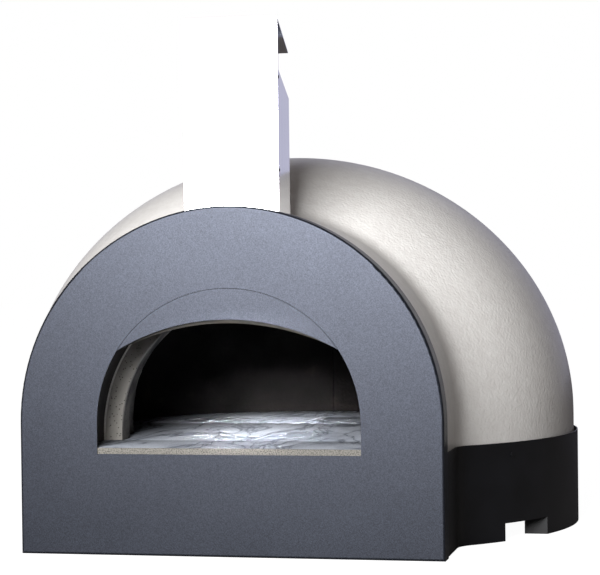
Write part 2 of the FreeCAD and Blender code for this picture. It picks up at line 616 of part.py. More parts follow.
def make_flue_collar():
    """Collar welded to the hood's outlet, with the seat that the flue stands on."""
    start = "(dims.floor_height + dims.hood_radius / 2)"
    tube = box("collar_tube", FLUE_BORE_HALF, COLLAR_Y, start, FLUE_BORE_DEPTH,
               f"dims.collar_top - {start}")
    seat = box("collar_seat", f"{FLUE_BORE_HALF} + dims.collar_seat",
               f"{COLLAR_Y} - dims.collar_seat", f"{SEAT_TOP} - dims.hood_sheet",
               f"{FLUE_BORE_DEPTH} + 2 * dims.collar_seat", "dims.hood_sheet")
    bore = box("collar_bore", f"{FLUE_BORE_HALF} - dims.flue_sheet", f"{COLLAR_Y} + dims.flue_sheet",
               f"{start} - 1", f"{FLUE_BORE_DEPTH} - 2 * dims.flue_sheet", TOP)
    under = arch("collar_under", HOOD_OUTSIDE, MOUTH_SPRING, BOARD_TOP, PLATE_BACK,
                 f"{HOOD_END} - {PLATE_BACK}")
    return cut("flue_collar", fuse("collar_block", tube, seat), bore, under)


def make_flue_gasket():
    """Flat fibre gasket between the collar's seat and the flue."""
    ring = box("gasket_block", "dims.flue_width / 2 + 3", f"{FLUE_Y} - 3", SEAT_TOP,
               "dims.flue_depth + 6", "dims.gasket_height")
    bore = box("gasket_bore", f"{FLUE_BORE_HALF} + 0.5", f"{COLLAR_Y} - 0.5", f"{SEAT_TOP} - 1",
               f"{FLUE_BORE_DEPTH} + 1", "dims.gasket_height + 2")
    return cut("flue_gasket", ring, bore)


def make_flue_body():
    """Folded channel that makes the flue's two sides and back, cut on a slant at the top."""
    sheet, front, back = "dims.flue_sheet", "dims.flue_front_top", "dims.flue_back_top"
    slope = f"(({front} - {back}) / dims.flue_depth)"
    body = new_body("flue_channel_block")
    side = new_sketch(body, "YZ_Plane", "flue_side")
    polygon_sketch(side, [(sheet, "dims.flue_foot"), ("dims.flue_depth", "dims.flue_foot"),
                          ("dims.flue_depth", back), (sheet, f"{front} - {slope} * {sheet}")])
    feature(body, "Pad", side, Length="dims.flue_width").Midplane = True
    bind(body, y=FLUE_Y)
    bore = box("flue_bore", f"dims.flue_width / 2 - {sheet}", FLUE_Y, "dims.flue_foot - 1",
               f"dims.flue_depth - {sheet}", TOP)
    return cut("flue_body", body, bore)


def make_flue_front():
    """One folded sheet: the flue's front, its side returns, and the cap roof that slopes back."""
    sheet, depth = "dims.flue_sheet", "dims.cap_depth"
    slope = f"((dims.cap_front_top - dims.cap_back_top) / {depth})"
    rise = f"({sheet} * sqrt(1 + {slope} ^ 2))"
    body = new_body("flue_front_sheet")
    side = new_sketch(body, "YZ_Plane", "flue_front_side")
    polygon_sketch(side, [("0", "dims.flue_foot"), (sheet, "dims.flue_foot"),
                          (sheet, f"dims.cap_front_top - {slope} * {sheet} - {rise}"),
                          (depth, f"dims.cap_back_top - {rise}"), (depth, "dims.cap_back_top"),
                          ("0", "dims.cap_front_top")])
    feature(body, "Pad", side, Length="dims.flue_width").Midplane = True
    bind(body, y=FLUE_Y)
    top = f"(dims.cap_front_top - {slope} * dims.flue_return - {rise})"
    returns = [box(f"flue_return_{name}", f"{sheet} / 2", FLUE_Y, "dims.flue_foot",
                   "dims.flue_return", f"{top} - dims.flue_foot",
                   x=f"{hand} * (dims.flue_width / 2 - 1.5 * {sheet})")
               for name, hand in (("left", -1), ("right", 1))]
    return fuse("flue_front_and_cap", body, *returns)


def make_flue_rivets():
    """Blind rivets through the flue's sides and the front sheet's returns."""
    sheet = "dims.flue_sheet"
    rivets = []
    for number, height in enumerate(("dims.flue_foot + 26", "(dims.flue_foot + dims.flue_front_top) / 2",
                                     "dims.flue_front_top - 16"), start=1):
        for name, hand in (("left", -1), ("right", 1)):
            head = doc.addObject("Part::Cone", f"rivet_{name}_{number}")
            head.Placement = Placement(Vector(), Rotation(Vector(0, 1, 0), 90 * hand))
            bind(head, Radius1="dims.rivet_radius", Radius2="dims.rivet_radius * 0.6",
                 Height="dims.flue_slip * 0.6", x=f"{hand} * dims.flue_width / 2",
                 y=f"{FLUE_Y} + dims.flue_return * 0.6", z=height)
            rivets.append(head)
    return group("flue_rivets", rivets)


# ---- refractory ---------------------------------------------------------------------------------

def oven_form(name, thickness, base):
    """The refractory dome's inner form, grown outwards by `thickness`."""
    return dome(name, f"dims.oven_radius + {thickness}", base, "dims.oven_equator",
                f"dims.oven_crown + {thickness}")


def quadrant(name, side, end, joint):
    """Block that keeps one quarter about the dome's axis, half a joint short of its neighbours."""
    size = "(dims.oven_radius * 3)"
    y = f"{AXIS} + {joint} / 2" if end > 0 else f"{AXIS} - {joint} / 2 - {size}"
    return box(name, f"{size} / 2", y, 0, size, TOP, x=f"{side} * ({size} / 2 + {joint} / 2)")


QUARTERS = (("front_left", -1, -1), ("front_right", 1, -1), ("rear_left", -1, 1), ("rear_right", 1, 1))


def make_dome_segments():
    """Four cast quarters of the dome; the front two are notched for the mouth vault."""
    parts = []
    for name, side, end in QUARTERS:
        label = f"dome_segment_{name}"
        keep = quadrant(label + "_keep", side, end, "dims.segment_joint")
        block = common(label + "_block", oven_form(label + "_outside", "dims.oven_wall", BOARD_TOP), keep)
        tools = [oven_form(label + "_inside", "0", f"{BOARD_TOP} - 1")]
        if end < 0:
            tools.append(arch(label + "_mouth", f"{VAULT_OUTSIDE} + dims.vault_fit",
                              MOUTH_SPRING, f"{BOARD_TOP} - 1", VAULT_Y,
                              f"{AXIS} - {VAULT_Y}"))
        parts.append(cut(label, block, *tools))
    return parts


def make_mouth_vault():
    """Refractory arch between the smoke hood and the dome, with a lip at its front."""
    depth = f"{AXIS} - dims.vault_setback / 2 - {VAULT_Y}"
    outside = arch("vault_outside", VAULT_OUTSIDE, MOUTH_SPRING, BOARD_TOP, VAULT_Y, depth)
    lip = arch("vault_lip_bore", "dims.vault_radius", MOUTH_SPRING, f"{BOARD_TOP} - 1",
               f"{VAULT_Y} - 1", f"{depth} + 2")
    relief = arch("vault_relief_bore", "dims.vault_radius + dims.vault_relief", MOUTH_SPRING,
                  f"{BOARD_TOP} - 1", f"{VAULT_Y} + dims.vault_lip", depth)
    return cut("mouth_vault", outside, lip, relief, oven_form("vault_trim", "0", f"{BOARD_TOP} - 1"))


def make_floor_slabs():
    """Four slabs that fill the oven's floor and run out between the vault's legs."""
    parts = []
    for name, side, end in QUARTERS:
        label = f"hearth_slab_{name}"
        pieces = [cylinder(label + "_round", "dims.oven_radius - dims.slab_joint", BOARD_TOP,
                           "dims.slab_thickness", y=AXIS)]
        if end < 0:
            pieces.append(box(label + "_throat", "dims.vault_radius + dims.vault_relief - dims.slab_joint",
                              f"{VAULT_Y} + dims.vault_lip + dims.slab_joint", BOARD_TOP,
                              f"{AXIS} - {VAULT_Y} - dims.vault_lip - dims.slab_joint",
                              "dims.slab_thickness"))
            pieces.append(box(label + "_lip", "dims.vault_radius - dims.slab_joint", VAULT_Y, BOARD_TOP,
                              f"{AXIS} - {VAULT_Y}", "dims.slab_thickness"))
        block = fuse(label + "_block", *pieces) if len(pieces) > 1 else pieces[0]
        parts.append(common(label, block, quadrant(label + "_keep", side, end, "dims.slab_joint")))
    return parts


def make_sill_slab():
    """Slab inside the smoke hood, from the plate's sill to the mouth vault."""
    body = new_body("sill_slab")
    outline = new_sketch(body, "YZ_Plane", "sill_side")
    start, end = "(dims.plate_sheet + 0.2)", "(dims.vault_setback - dims.slab_joint)"
    polygon_sketch(outline, [(start, BOARD_TOP), (end, BOARD_TOP), (end, "dims.floor_height"),
                             (start, "dims.floor_height")])
    feature(body, "Pad", outline, Length="2 * (dims.hood_radius - 2 * dims.slab_joint)").Midplane = True
    bind(body, y=FRONT)
    return body


def make_insulation_boards():
    """Calcium silicate boards under the hearth, cut to the oven's keyhole shape in two halves."""
    parts = []
    for name, side in (("left", -1), ("right", 1)):
        label = f"insulation_board_{name}"
        block = keyhole(label + "_block", f"{OVEN_OUTSIDE} + dims.board_margin",
                        f"{HOOD_OUTSIDE} + dims.hood_flange + dims.board_margin",
                        f"{PLATE_BACK} + 0.2", PAN_TOP, "dims.board_thickness")
        size = "(dims.dome_offset + dims.skirt_radius)"
        keep = box(label + "_keep", f"{size} / 2", FRONT, 0, f"{size}", TOP,
                   x=f"{side} * ({size} / 2 + dims.slab_joint / 2)")
        parts.append(common(label, block, keep))
    return parts


def blanket_form(name):
    """The space inside the cover, down to the base pan, less a gap."""
    return dome_with_neck(name, BLANKET_INSET, PAN_TOP, f"{PLATE_BACK} + dims.blanket_gap")


def make_blankets():
    """Ceramic fibre packed under the cover: one piece over the dome and one over the hood."""
    gap = "dims.blanket_gap"
    split = VAULT_Y
    board = keyhole("blanket_board_space", f"{OVEN_OUTSIDE} + dims.board_margin + {gap}",
                    f"{HOOD_OUTSIDE} + dims.hood_flange + dims.board_margin + {gap}",
                    f"{FRONT} - 1", f"{PAN_TOP} - 1", f"dims.board_thickness + 1 + {gap}")
    dome_space = oven_form("blanket_dome_space", f"dims.oven_wall + {gap}", f"{PAN_TOP} - 1")
    vault_space = arch("blanket_vault_space", f"{VAULT_OUTSIDE} + {gap}", MOUTH_SPRING,
                       f"{PAN_TOP} - 1", f"{VAULT_Y} - 1", "dims.oven_radius")
    rear = box("blanket_rear_keep", "dims.skirt_radius", split, 0, TOP, TOP)
    over_dome = cut("dome_blanket", common("dome_blanket_block", blanket_form("blanket_form_rear"), rear),
                    board, dome_space, vault_space)
    hood_space = arch("blanket_hood_space", f"{HOOD_OUTSIDE} + dims.hood_flange + {gap}",
                      MOUTH_SPRING, f"{PAN_TOP} - 1", f"{FRONT} - 1",
                      "dims.vault_setback + 2")
    flue_space = box("blanket_flue_space", f"{FLUE_BORE_HALF} + dims.collar_seat + {gap}",
                     f"{COLLAR_Y} - dims.collar_seat - {gap}", "dims.floor_height",
                     f"{FLUE_BORE_DEPTH} + 2 * (dims.collar_seat + {gap})", TOP)
    front = box("blanket_front_keep", "dims.skirt_radius", FRONT, 0,
                f"{split} - {FRONT} - {gap}", TOP)
    over_hood = cut("hood_blanket", common("hood_blanket_block", blanket_form("blanket_form_front"), front),
                    board, hood_space, flue_space)
    return [over_dome, over_hood]


# ---- base ---------------------------------------------------------------------------------------

def bracket_angles():
    """Degrees about the dome's axis, clear of the fork channels."""
    return (-5, 5 + 45, 90, 180 - 50, 185)


def make_base_pan():
    """Keyhole-shaped plate that carries the refractory."""
    plate = keyhole("pan_block", "dims.skirt_radius - dims.skirt_sheet - dims.pan_fit",
                    f"{SKIRT_NECK} - dims.skirt_sheet - dims.pan_fit", f"{PLATE_BACK} + 0.2",
                    PAN_UNDER, "dims.pan_sheet")
    holes = [cylinder(f"pan_hole_{n}", "dims.bolt_radius + dims.bolt_fit", f"{PAN_UNDER} - 1",
                      "dims.pan_sheet + 2", x=x, y=y) for n, (x, y) in enumerate(bolt_places(), start=1)]
    return cut("base_pan", plate, *holes)


def bolt_places():
    ring = "(dims.skirt_radius - dims.skirt_sheet - dims.bracket_leg / 2 - 2)"
    return [(f"{ring} * {math.cos(math.radians(a)):.6f}", f"{AXIS} + {ring} * {math.sin(math.radians(a)):.6f}")
            for a in bracket_angles()]


def make_skirt_brackets():
    """Angle brackets, rolled to the skirt's curve, that carry the pan's edge."""
    wall = "(dims.skirt_radius - dims.skirt_sheet)"
    leg, sheet = "dims.bracket_leg", "dims.bracket_sheet"
    brackets = []
    for number, angle in enumerate(bracket_angles(), start=1):
        body = new_body(f"skirt_bracket_{number}")
        section = new_sketch(body, "XZ_Plane", f"bracket_section_{number}")
        polygon_sketch(section, [(f"{wall} - {leg}", f"{PAN_UNDER} - {sheet}"),
                                 (f"{wall} - {sheet}", f"{PAN_UNDER} - {sheet}"),
                                 (f"{wall} - {sheet}", f"{PAN_UNDER} - {leg}"),
                                 (wall, f"{PAN_UNDER} - {leg}"), (wall, PAN_UNDER),
                                 (f"{wall} - {leg}", PAN_UNDER)])
        turn = feature(body, "Revolution", section, Angle="dims.bracket_angle")
        turn.ReferenceAxis = (section, ["V_Axis"])
        turn.Midplane = True
        body.Placement = Placement(Vector(), Rotation(Vector(0, 0, 1), angle))
        bind(body, y=AXIS)
        x, y = bolt_places()[number - 1]
        hole = cylinder(f"bracket_hole_{number}", "dims.bolt_radius + dims.bolt_fit",
                        f"{PAN_UNDER} - {sheet} - 1", f"{sheet} + 2", x=x, y=y)
        brackets.append(cut(f"skirt_bracket_{number}_drilled", body, hole))
    return group("skirt_brackets", brackets)


def make_pan_bolts():
    """Hexagon bolts up through the brackets into the pan."""
    bolts = []
    under = f"({PAN_UNDER} - dims.bracket_sheet)"
    for number, (x, y) in enumerate(bolt_places(), start=1):
        head = doc.addObject("Part::Prism", f"pan_bolt_head_{number}")
        head.Polygon = 6
        bind(head, Circumradius="dims.bolt_radius * 1.8", Height="dims.bolt_radius * 1.3", x=x, y=y,
             z=f"{under} - dims.bolt_radius * 1.3")
        shank = cylinder(f"pan_bolt_shank_{number}", "dims.bolt_radius", under,
                         "dims.pan_sheet + dims.bracket_sheet", x=x, y=y)
        bolts.append(fuse(f"pan_bolt_{number}", head, shank))
    return group("pan_bolts", bolts)


def make_base_rails():
    """Rectangular tubes under the pan, from front to back."""
    parts = []
    offset = "(dims.rail_spread / 2)"
    end = f"({AXIS} + sqrt((dims.skirt_radius - dims.skirt_sheet) ^ 2 - ({offset} + dims.rail_width / 2) ^ 2))"
    for name, side in (("left", -1), ("right", 1)):
        label = f"base_rail_{name}"
        y = f"({PLATE_BACK} + dims.rail_reach)"
        length = f"{end} - dims.rail_reach - {y}"
        bottom = f"({PAN_UNDER} - dims.rail_depth)"
        tube = box(label + "_tube", "dims.rail_width / 2", y, bottom, length, "dims.rail_depth",
                   x=f"{side} * {offset}")
        bore = box(label + "_bore", "dims.rail_width / 2 - dims.rail_wall", f"{y} - 1",
                   f"{bottom} + dims.rail_wall", f"{length} + 2", "dims.rail_depth - 2 * dims.rail_wall",
                   x=f"{side} * {offset}")
        parts.append(cut(label, tube, bore))
    return parts


def make_base_feet():
    """Short square posts under the rails, clear of the fork channels."""
    places = {"front": f"{AXIS} - dims.dome_offset + dims.rail_reach + dims.foot_side + 30",
              "middle_front": f"{AXIS} - dims.fork_spread / 4",
              "middle_rear": f"{AXIS} + dims.fork_spread / 4",
              "rear": f"{AXIS} + dims.fork_spread / 2 + dims.fork_width / 2 + dims.foot_side / 2 + 10"}
    feet = []
    height = f"({PAN_UNDER} - dims.rail_depth)"
    for name, y in places.items():
        for hand, side in (("left", -1), ("right", 1)):
            feet.append(box(f"foot_{name}_{hand}", "dims.foot_side / 2", f"{y} - dims.foot_side / 2", 0,
                            "dims.foot_side", height, x=f"{side} * dims.rail_spread / 2"))
    return group("base_feet", feet)


def make_plate_brackets():
    """Angle pieces that join the front plate to the base pan."""
    parts = []
    leg, sheet = "dims.bracket_leg", "dims.bracket_sheet"
    for hand, side in (("left", -1), ("right", 1)):
        x = f"{side} * ({SKIRT_NECK} - dims.skirt_sheet - dims.bracket_leg * 1.2)"
        upright = box(f"plate_bracket_{hand}_upright", leg, PLATE_BACK, f"{PAN_UNDER} - {leg}", sheet, leg,
                      x=x)
        level = box(f"plate_bracket_{hand}_level", leg, PLATE_BACK, f"{PAN_UNDER} - {sheet}", leg, sheet,
                    x=x)
        parts.append(fuse(f"plate_bracket_{hand}", upright, level))
    return group("plate_brackets", parts)


def build():
    """Every sub-part, in the order in which the oven is assembled."""
    parts = [*make_base_skirt(), make_skirt_brackets(), *make_base_rails(), make_base_feet(),
             make_base_pan(), make_pan_bolts(), make_plate_brackets(),
             *make_insulation_boards(), make_sill_slab(), *make_floor_slabs(),
             *make_dome_segments(), make_mouth_vault(), *make_blankets(),
             make_front_plate(), make_visor(), make_backing_strip(), make_visor_spacers(),
             make_smoke_hood(), make_hood_studs(), make_hood_rope(),
             make_flue_collar(), make_flue_gasket(), make_flue_body(), make_flue_front(),
             make_flue_rivets(), make_dome_cover(), make_neck_seal(), make_skirt_screws()]
    doc.recompute()
    return parts


def check(parts):
    """Stop on a failed object or an unsound solid."""
    failed = [item.Label for item in doc.Objects if {"Invalid", "Error"} & set(item.State)]
    unsound = [part.Label for part in parts if part.Shape.isNull() or not part.Shape.isValid()
               or not part.Shape.Solids]
    if failed or unsound:
        raise RuntimeError(f"failed objects: {failed}; unsound solids: {unsound}")


PARTS = build()
check(PARTS)
os.makedirs("parts", exist_ok=True)
for part in PARTS:
    part.Shape.exportStep(f"parts/{part.Label}.step")
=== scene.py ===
"""Wood fired pizza oven: the looks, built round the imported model. Metres, +Z up, the mouth faces -Y."""

import math

import bpy
from mathutils import Matrix, Vector


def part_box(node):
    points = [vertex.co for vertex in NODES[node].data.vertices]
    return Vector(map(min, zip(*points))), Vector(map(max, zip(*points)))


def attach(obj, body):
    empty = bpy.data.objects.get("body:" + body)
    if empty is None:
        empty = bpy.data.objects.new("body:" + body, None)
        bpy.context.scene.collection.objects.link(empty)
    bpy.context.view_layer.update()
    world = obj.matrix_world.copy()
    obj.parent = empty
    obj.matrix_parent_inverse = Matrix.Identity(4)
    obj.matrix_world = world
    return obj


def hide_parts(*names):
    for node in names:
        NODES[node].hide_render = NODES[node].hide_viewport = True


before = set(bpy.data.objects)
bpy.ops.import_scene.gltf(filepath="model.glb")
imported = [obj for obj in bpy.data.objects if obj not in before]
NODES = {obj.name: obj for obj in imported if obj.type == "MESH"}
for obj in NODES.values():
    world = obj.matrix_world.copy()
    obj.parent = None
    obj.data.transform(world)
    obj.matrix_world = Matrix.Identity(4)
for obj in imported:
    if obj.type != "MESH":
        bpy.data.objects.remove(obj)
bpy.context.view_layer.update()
MM = 0.001


# ---- materials ----------------------------------------------------------------------------------
# Patterns read Object coordinates in metres, so a Scale is in cells per metre: 500 is 2 mm.

def linear(hex_colour):
    """sRGB hex to linear RGBA."""
    channels = [int(hex_colour[i:i + 2], 16) / 255 for i in (1, 3, 5)]
    return tuple(c / 12.92 if c <= 0.04045 else ((c + 0.055) / 1.055) ** 2.4 for c in channels) + (1,)


def node(tree, kind, inputs=None, stops=(), **settings):
    """Add a node: `inputs` are values, hex colours or links, `stops` its ramp, the rest its settings."""
    item = tree.nodes.new("ShaderNode" + kind)
    for name, value in settings.items():
        setattr(item, name, value)
    for number, (position, colour) in enumerate(stops):
        elements = item.color_ramp.elements
        element = elements[number] if number < len(elements) else elements.new(position)
        element.position, element.color = position, linear(colour)
    for name, value in (inputs or {}).items():
        if isinstance(value, bpy.types.NodeSocket):
            tree.links.new(value, item.inputs[name])
        else:
            item.inputs[name].default_value = linear(value) if isinstance(value, str) else value
    return item


def finish(name, layers):
    """A material: `layers` adds its nodes to the tree and gives the shader's inputs."""
    material = bpy.data.materials.new(name)
    material.use_nodes = True
    tree = material.node_tree
    tree.nodes.clear()
    shader = node(tree, "BsdfPrincipled", layers(tree, node(tree, "TexCoord").outputs["Object"]))
    node(tree, "OutputMaterial", {"Surface": shader.outputs["BSDF"]})
    return material


def metallic_powder_coat(tree, where):
    """Powder coat with aluminium flake: blue-grey, with a soft, broad sheen.

    The grain is 1.4 mm across, coarser than the real one so that it shows; the cloud is 110 mm.
    """
    grain = node(tree, "TexNoise", {"Vector": where, "Scale": 700.0, "Detail": 3.0})
    cloud = node(tree, "TexNoise", {"Vector": where, "Scale": 9.0, "Detail": 3.0})
    flake = node(tree, "ValToRGB", {"Fac": grain.outputs["Fac"]}, [(0.3, "#26282F"), (0.72, "#393D47")])
    wear = node(tree, "MapRange", {"Value": cloud.outputs["Fac"], "To Min": 0.36, "To Max": 0.42})
    bump = node(tree, "Bump", {"Height": grain.outputs["Fac"], "Strength": 0.5, "Distance": 0.00012})
    return {"Base Color": flake.outputs["Color"], "Metallic": 0.75, "Roughness": wear.outputs["Result"],
            "Normal": bump.outputs["Normal"]}


def pearl_orange_peel_paint(tree, where):
    """Champagne pearl paint: a 5 mm orange peel over 18 mm sags, which break up each highlight."""
    peel = node(tree, "TexNoise", {"Vector": where, "Scale": 210.0, "Detail": 1.5, "Roughness": 0.45})
    sag = node(tree, "TexNoise", {"Vector": where, "Scale": 55.0, "Detail": 2.0})
    tint = node(tree, "ValToRGB", {"Fac": sag.outputs["Fac"]}, [(0.3, "#E2DFDC"), (0.7, "#E9E7E4")])
    waves = node(tree, "Bump", {"Height": sag.outputs["Fac"], "Strength": 0.5, "Distance": 0.0008})
    bump = node(tree, "Bump", {"Height": peel.outputs["Fac"], "Strength": 0.8, "Distance": 0.0011,
                               "Normal": waves.outputs["Normal"]})
    return {"Base Color": tint.outputs["Color"], "Roughness": 0.42,
            "Coat Weight": 0.3, "Coat Roughness": 0.25, "Normal": bump.outputs["Normal"]}


def satin_black_powder_coat(tree, where):
    """Black powder coat: a low sheen, a trace of blue, a 1.5 mm grain and 70 mm patches of dust."""
    grain = node(tree, "TexNoise", {"Vector": where, "Scale": 650.0, "Detail": 2.0})
    dust = node(tree, "TexNoise", {"Vector": where, "Scale": 14.0, "Detail": 5.0})
    tone = node(tree, "ValToRGB", {"Fac": dust.outputs["Fac"]}, [(0.35, "#0D0E12"), (0.75, "#17181D")])
    bump = node(tree, "Bump", {"Height": grain.outputs["Fac"], "Strength": 0.5, "Distance": 0.0001})
    return {"Base Color": tone.outputs["Color"], "Roughness": 0.44, "Normal": bump.outputs["Normal"]}


def mirror_polished_stainless(tree, where):
    """Stainless sheet polished to a mirror, with the faint haze of wiping marks.

    The marks are 17 mm wide and run upright for 140 mm. The sheet's dents are 80 mm across.
    """
    stretch = node(tree, "Mapping", {"Vector": where, "Scale": (1.0, 1.0, 0.12)})
    haze = node(tree, "TexNoise", {"Vector": stretch.outputs["Vector"], "Scale": 60.0, "Detail": 4.0})
    gloss = node(tree, "MapRange", {"Value": haze.outputs["Fac"], "To Min": 0.05, "To Max": 0.14})
    dents = node(tree, "TexNoise", {"Vector": where, "Scale": 12.0, "Detail": 1.0})
    bump = node(tree, "Bump", {"Height": dents.outputs["Fac"], "Strength": 0.25, "Distance": 0.0008})
    return {"Base Color": "#DEDEE2", "Metallic": 1.0, "Roughness": gloss.outputs["Result"],
            "Normal": bump.outputs["Normal"]}


def pitted_refractory(tree, where):
    """Cast refractory: beige-grey in 60 mm drifts, with air holes up to 3 mm wide, 6 mm apart.

    Soot darkens it towards the crown; the reveal behind the vault's front face gets painted shade.
    """
    split = node(tree, "SeparateXYZ", {"Vector": where})
    drift = node(tree, "TexNoise", {"Vector": where, "Scale": 16.0, "Detail": 6.0})
    smoke = node(tree, "MapRange", {"Value": split.outputs["Z"], "From Min": SOOT_STARTS,
                                    "From Max": SOOT_FULL})
    # Painted shade: the reveal, from 4 to 12 mm behind the front face, darkens up to 0.75.
    reveal = node(tree, "MapRange", {"Value": split.outputs["Y"], "From Min": VAULT_FRONT + 4 * MM,
                                     "From Max": VAULT_FRONT + 12 * MM, "To Max": 0.75})
    soot_and_shade_depth = node(tree, "Math", {0: smoke.outputs["Result"], 1: reveal.outputs["Result"]},
                 operation="MAXIMUM")
    edge = node(tree, "Math", {0: drift.outputs["Fac"], 1: 0.5}, operation="SUBTRACT")
    soot_and_shade = node(tree, "Math", {0: edge.outputs[0], 1: 1.4, 2: soot_and_shade_depth.outputs[0]},
                operation="MULTIPLY_ADD", use_clamp=True)
    body = node(tree, "ValToRGB", {"Fac": drift.outputs["Fac"]}, [(0.3, "#A19D97"), (0.7, "#BFBBB4")])
    # The dark #1C1917 is soot at the crown and painted shade on the reveal.
    sooted_and_shaded = node(tree, "Mix", {0: soot_and_shade.outputs[0], 6: body.outputs["Color"], 7: "#1C1917"},
                  data_type="RGBA")
    cells = node(tree, "TexVoronoi", {"Vector": where, "Scale": 170.0})
    # Painted shade: the air holes are dark at their centres; the same ramp sinks them as bump.
    pits = node(tree, "ValToRGB", {"Fac": cells.outputs["Distance"]},
                [(0.1, "#3A3836"), (0.24, "#FFFFFF")])
    colour = node(tree, "Mix", {0: 0.8, 6: sooted_and_shaded.outputs[2], 7: pits.outputs["Color"]},
                  data_type="RGBA", blend_type="MULTIPLY")
    sand = node(tree, "Bump", {"Height": drift.outputs["Fac"], "Strength": 0.7, "Distance": 0.002})
    bump = node(tree, "Bump", {"Height": pits.outputs["Color"], "Strength": 0.7, "Distance": 0.0012,
                               "Normal": sand.outputs["Normal"]})
    return {"Base Color": colour.outputs[2], "Roughness": 0.93, "Normal": bump.outputs["Normal"]}


def sooted_refractory(tree, where):
    """Cast refractory inside the dome: blackened by fire, browner in 90 mm patches, 6 mm sand."""
    smoke = node(tree, "TexNoise", {"Vector": where, "Scale": 11.0, "Detail": 8.0, "Roughness": 0.6})
    tone = node(tree, "ValToRGB", {"Fac": smoke.outputs["Fac"]},
                [(0.35, "#0D0C0C"), (0.6, "#181616"), (0.78, "#322D29")])
    sand = node(tree, "TexNoise", {"Vector": where, "Scale": 160.0, "Detail": 4.0})
    bump = node(tree, "Bump", {"Height": sand.outputs["Fac"], "Strength": 0.7, "Distance": 0.0015})
    return {"Base Color": tone.outputs["Color"], "Roughness": 0.95, "Specular IOR Level": 0.1,
            "Normal": bump.outputs["Normal"]}


def veined_hearth_stone(tree, where):
    """Blue-grey stone slab, honed by the peel, with long dark slanting veins and 2 mm grit.

    The veins follow a noise of 77 by 275 mm. The sill's front edge is a warm grey, speckled break.
    """
    slant = node(tree, "Mapping", {"Vector": where, "Rotation": (0, 0, math.radians(38)),
                                   "Scale": (1.0, 0.28, 1.0)})
    flow = node(tree, "TexNoise", {"Vector": slant.outputs["Vector"], "Scale": 13.0, "Detail": 5.0,
                                   "Roughness": 0.55, "Distortion": 0.9})
    veins = node(tree, "ValToRGB", {"Fac": flow.outputs["Fac"]},
                 [(0.40, "#BDC3CE"), (0.47, "#A8AEBA"), (0.505, "#656B76"), (0.54, "#B4BAC6"),
                  (0.7, "#C8CDD6")])
    speck = node(tree, "TexNoise", {"Vector": where, "Scale": 500.0, "Detail": 2.0})
    grit = node(tree, "ValToRGB", {"Fac": speck.outputs["Fac"]}, [(0.4, "#C9C9C9"), (0.6, "#FFFFFF")])
    honed = node(tree, "Mix", {0: 0.6, 6: veins.outputs["Color"], 7: grit.outputs["Color"]},
                 data_type="RGBA", blend_type="MULTIPLY")
    depth = node(tree, "SeparateXYZ", {"Vector": where}).outputs["Y"]
    front = node(tree, "Math", {0: depth, 1: SILL_FRONT + 1.2 * MM}, operation="LESS_THAN")
    broken = node(tree, "ValToRGB", {"Fac": speck.outputs["Fac"]}, [(0.35, "#3F3C37"), (0.55, "#6D6A64")])
    colour = node(tree, "Mix", {0: front.outputs[0], 6: honed.outputs[2], 7: broken.outputs["Color"]},
                  data_type="RGBA")
    bump = node(tree, "Bump", {"Height": speck.outputs["Fac"], "Strength": 0.35, "Distance": 0.0005})
    return {"Base Color": colour.outputs[2], "Roughness": 0.68, "Normal": bump.outputs["Normal"]}


def heat_darkened_steel(tree, where):
    """Steel sheet browned by smoke and heat, in 40 mm patches."""
    scale = node(tree, "TexNoise", {"Vector": where, "Scale": 25.0, "Detail": 6.0})
    tone = node(tree, "ValToRGB", {"Fac": scale.outputs["Fac"]}, [(0.35, "#14120F"), (0.7, "#2B261E")])
    bump = node(tree, "Bump", {"Height": scale.outputs["Fac"], "Strength": 0.3, "Distance": 0.0006})
    return {"Base Color": tone.outputs["Color"], "Metallic": 0.4, "Roughness": 0.66,
            "Normal": bump.outputs["Normal"]}


def white_ceramic_fibre(tree, where):
    """Needled ceramic fibre and pressed board: off-white and matte, its lint drawn 3 mm so it shows."""
    lint = node(tree, "TexNoise", {"Vector": where, "Scale": 330.0, "Detail": 6.0, "Roughness": 0.7})
    tone = node(tree, "ValToRGB", {"Fac": lint.outputs["Fac"]}, [(0.3, "#C9C6BE"), (0.7, "#EAE8E2")])
    bump = node(tree, "Bump", {"Height": lint.outputs["Fac"], "Strength": 0.9, "Distance": 0.001})
    return {"Base Color": tone.outputs["Color"], "Roughness": 0.96, "Normal": bump.outputs["Normal"]}


SILL_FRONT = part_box("sill_slab")[0][1]
VAULT_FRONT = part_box("mouth_vault")[0][1]
SOOT_STARTS, SOOT_FULL = 0.28, 0.40    # heights on the vault
HEARTH = ("sill_slab", "hearth_slab_front_left", "hearth_slab_front_right", "hearth_slab_rear_left",
          "hearth_slab_rear_right")
FINISHES = {
    metallic_powder_coat: ("front_plate", "visor", "visor_spacers"),
    pearl_orange_peel_paint: ("dome_cover",),
    satin_black_powder_coat: ("base_skirt_left", "base_skirt_right", "skirt_screws", "skirt_brackets",
                              "base_rail_left", "base_rail_right", "base_feet", "base_pan", "pan_bolts",
                              "plate_brackets"),
    mirror_polished_stainless: ("flue_body", "flue_front_and_cap", "flue_rivets"),
    pitted_refractory: ("mouth_vault",),
    sooted_refractory: ("dome_segment_front_left", "dome_segment_front_right",
                        "dome_segment_rear_left", "dome_segment_rear_right"),
    veined_hearth_stone: HEARTH,
    heat_darkened_steel: ("smoke_hood", "flue_collar", "hood_nuts", "visor_backing_strip"),
    white_ceramic_fibre: ("insulation_board_left", "insulation_board_right", "dome_blanket",
                          "hood_blanket", "hood_rope_seal", "neck_seal", "flue_gasket"),
}
for layers, names in FINISHES.items():
    surface = finish(layers.__name__, layers)
    for name in names:
        NODES[name].data.materials.clear()
        NODES[name].data.materials.append(surface)


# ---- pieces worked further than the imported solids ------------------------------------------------

SMOOTH_ANGLE = math.radians(35)
MERGE_DISTANCE = 1e-5
FLAT_ANGLE = math.radians(0.5)


